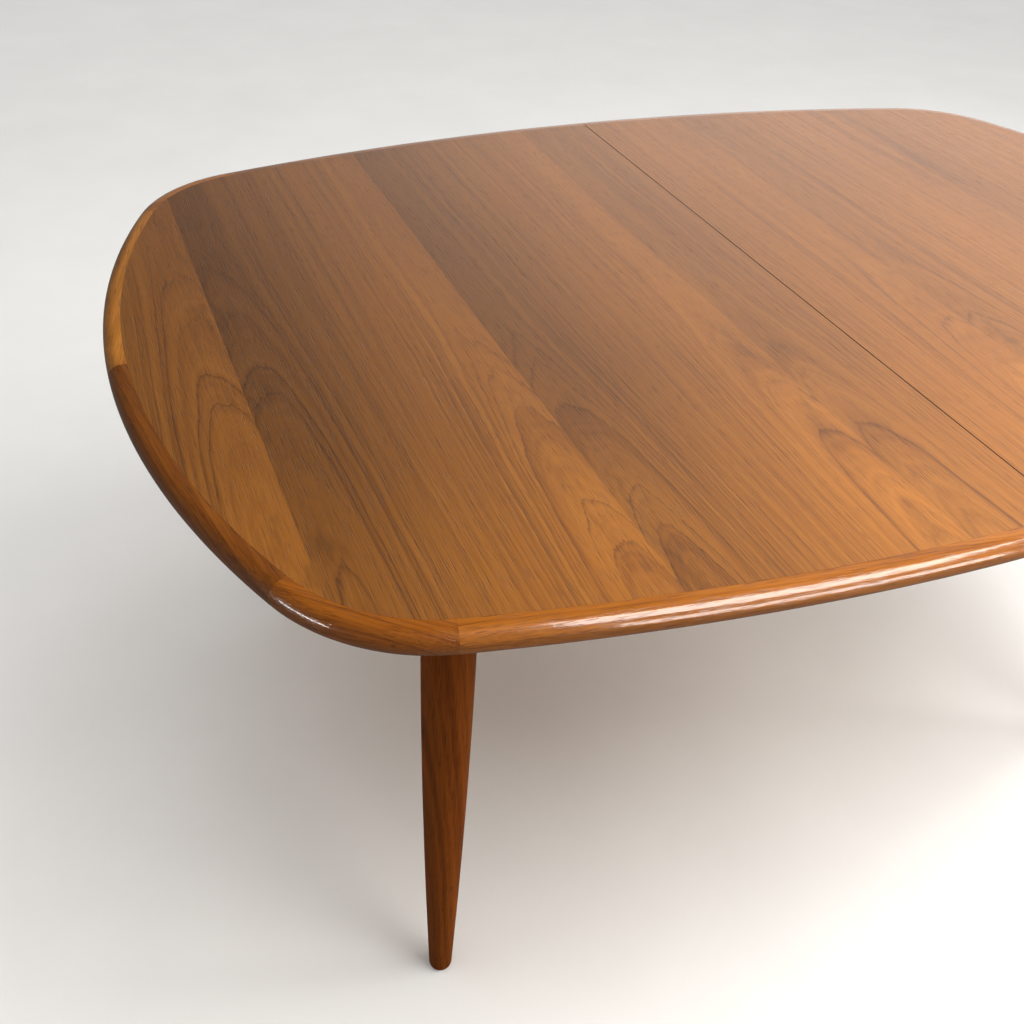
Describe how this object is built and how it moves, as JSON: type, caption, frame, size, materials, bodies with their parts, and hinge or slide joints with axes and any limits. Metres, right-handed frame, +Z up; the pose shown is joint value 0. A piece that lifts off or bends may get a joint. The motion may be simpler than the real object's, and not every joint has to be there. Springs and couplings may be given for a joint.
{
  "type": "split-top extending dining table",
  "caption": "Bowed-oval extending dining table: the veneered top parts at mid-length on wooden slides to take a leaf; tapered turned legs.",
  "frame": {"origin": "on the floor under the middle of the closed table, at the seam between the two halves", "axes": "+X along the table towards the half that draws out, +Y across the table towards its far side, +Z up"},
  "size_m": [1.55, 1.05, 0.725],
  "materials": {
    "teak_veneer": "satin lacquered teak veneer, leaves with cathedral figure",
    "teak_lipping": "satin lacquered solid teak",
    "teak_frame": "satin lacquered solid teak, darker red-brown",
    "backing_veneer": "unlacquered plain backing veneer",
    "board_core": "raw particle board",
    "beech": "plain planed beech",
    "steel": "zinc plated steel",
    "brass": "dull brass",
    "nylon": "off-white nylon"
  },
  "bodies": {
    "left_half": {"left_core_board": "board_core", "left_face_veneer": "teak_veneer", "left_back_veneer": "backing_veneer", "left_seam_edging": "teak_lipping", "left_near_side_lipping": "teak_lipping", "left_far_side_lipping": "teak_lipping", "left_near_corner_lipping": "teak_lipping", "left_far_corner_lipping": "teak_lipping", "left_near_end_lipping": "teak_lipping", "left_far_end_lipping": "teak_lipping", "left_near_side_apron": "teak_frame", "left_far_side_apron": "teak_frame", "left_end_apron": "teak_frame", "left_near_leg": "teak_frame", "left_far_leg": "teak_frame", "left_foot_glides": "nylon", "left_corner_blocks": "beech", "left_leg_bolts": "steel", "left_leg_nuts": "steel", "left_glue_blocks": "beech", "left_frame_screws": "steel", "left_near_slide_rail": "beech", "left_far_slide_rail": "beech", "left_slide_packers": "beech", "left_slide_screws": "steel", "seam_dowels": "beech", "catch_pivot_screws": "brass"},
    "right_half": {"right_core_board": "board_core", "right_face_veneer": "teak_veneer", "right_back_veneer": "backing_veneer", "right_seam_edging": "teak_lipping", "right_near_side_lipping": "teak_lipping", "right_far_side_lipping": "teak_lipping", "right_near_corner_lipping": "teak_lipping", "right_far_corner_lipping": "teak_lipping", "right_near_end_lipping": "teak_lipping", "right_far_end_lipping": "teak_lipping", "right_near_side_apron": "teak_frame", "right_far_side_apron": "teak_frame", "right_end_apron": "teak_frame", "right_near_leg": "teak_frame", "right_far_leg": "teak_frame", "right_foot_glides": "nylon", "right_corner_blocks": "beech", "right_leg_bolts": "steel", "right_leg_nuts": "steel", "right_glue_blocks": "beech", "right_frame_screws": "steel", "right_near_slide_rail": "beech", "right_far_slide_rail": "beech", "right_slide_packers": "beech", "right_slide_screws": "steel", "catch_keeper_screws": "brass"},
    "near_slide": {"near_middle_rail": "beech", "near_stop_pins": "steel"},
    "far_slide": {"far_middle_rail": "beech", "far_stop_pins": "steel"},
    "near_catch": {"near_catch_lever": "brass"},
    "far_catch": {"far_catch_lever": "brass"}
  },
  "joints": [
    {"name": "extension_slide", "type": "slide", "parent": "left_half", "child": "right_half", "axis": [1, 0, 0], "range_m": [0, 0.5]},
    {"name": "near_rail_slide", "type": "slide", "parent": "left_half", "child": "near_slide", "axis": [1, 0, 0], "range_m": [0, 0.25]},
    {"name": "far_rail_slide", "type": "slide", "parent": "left_half", "child": "far_slide", "axis": [1, 0, 0], "range_m": [0, 0.25]},
    {"name": "near_catch_pivot", "type": "hinge", "parent": "left_half", "child": "near_catch", "pos_m": [-0.035, -0.1, 0.7], "axis": [0, 0, -1], "range_deg": [0, 90]},
    {"name": "far_catch_pivot", "type": "hinge", "parent": "left_half", "child": "far_catch", "pos_m": [-0.035, 0.1, 0.7], "axis": [0, 0, 1], "range_deg": [0, 90]}
  ],
  "couplings": [
    {"joint": "near_rail_slide", "follows": "extension_slide", "ratio": 0.5},
    {"joint": "far_rail_slide", "follows": "extension_slide", "ratio": 0.5}
  ]
}
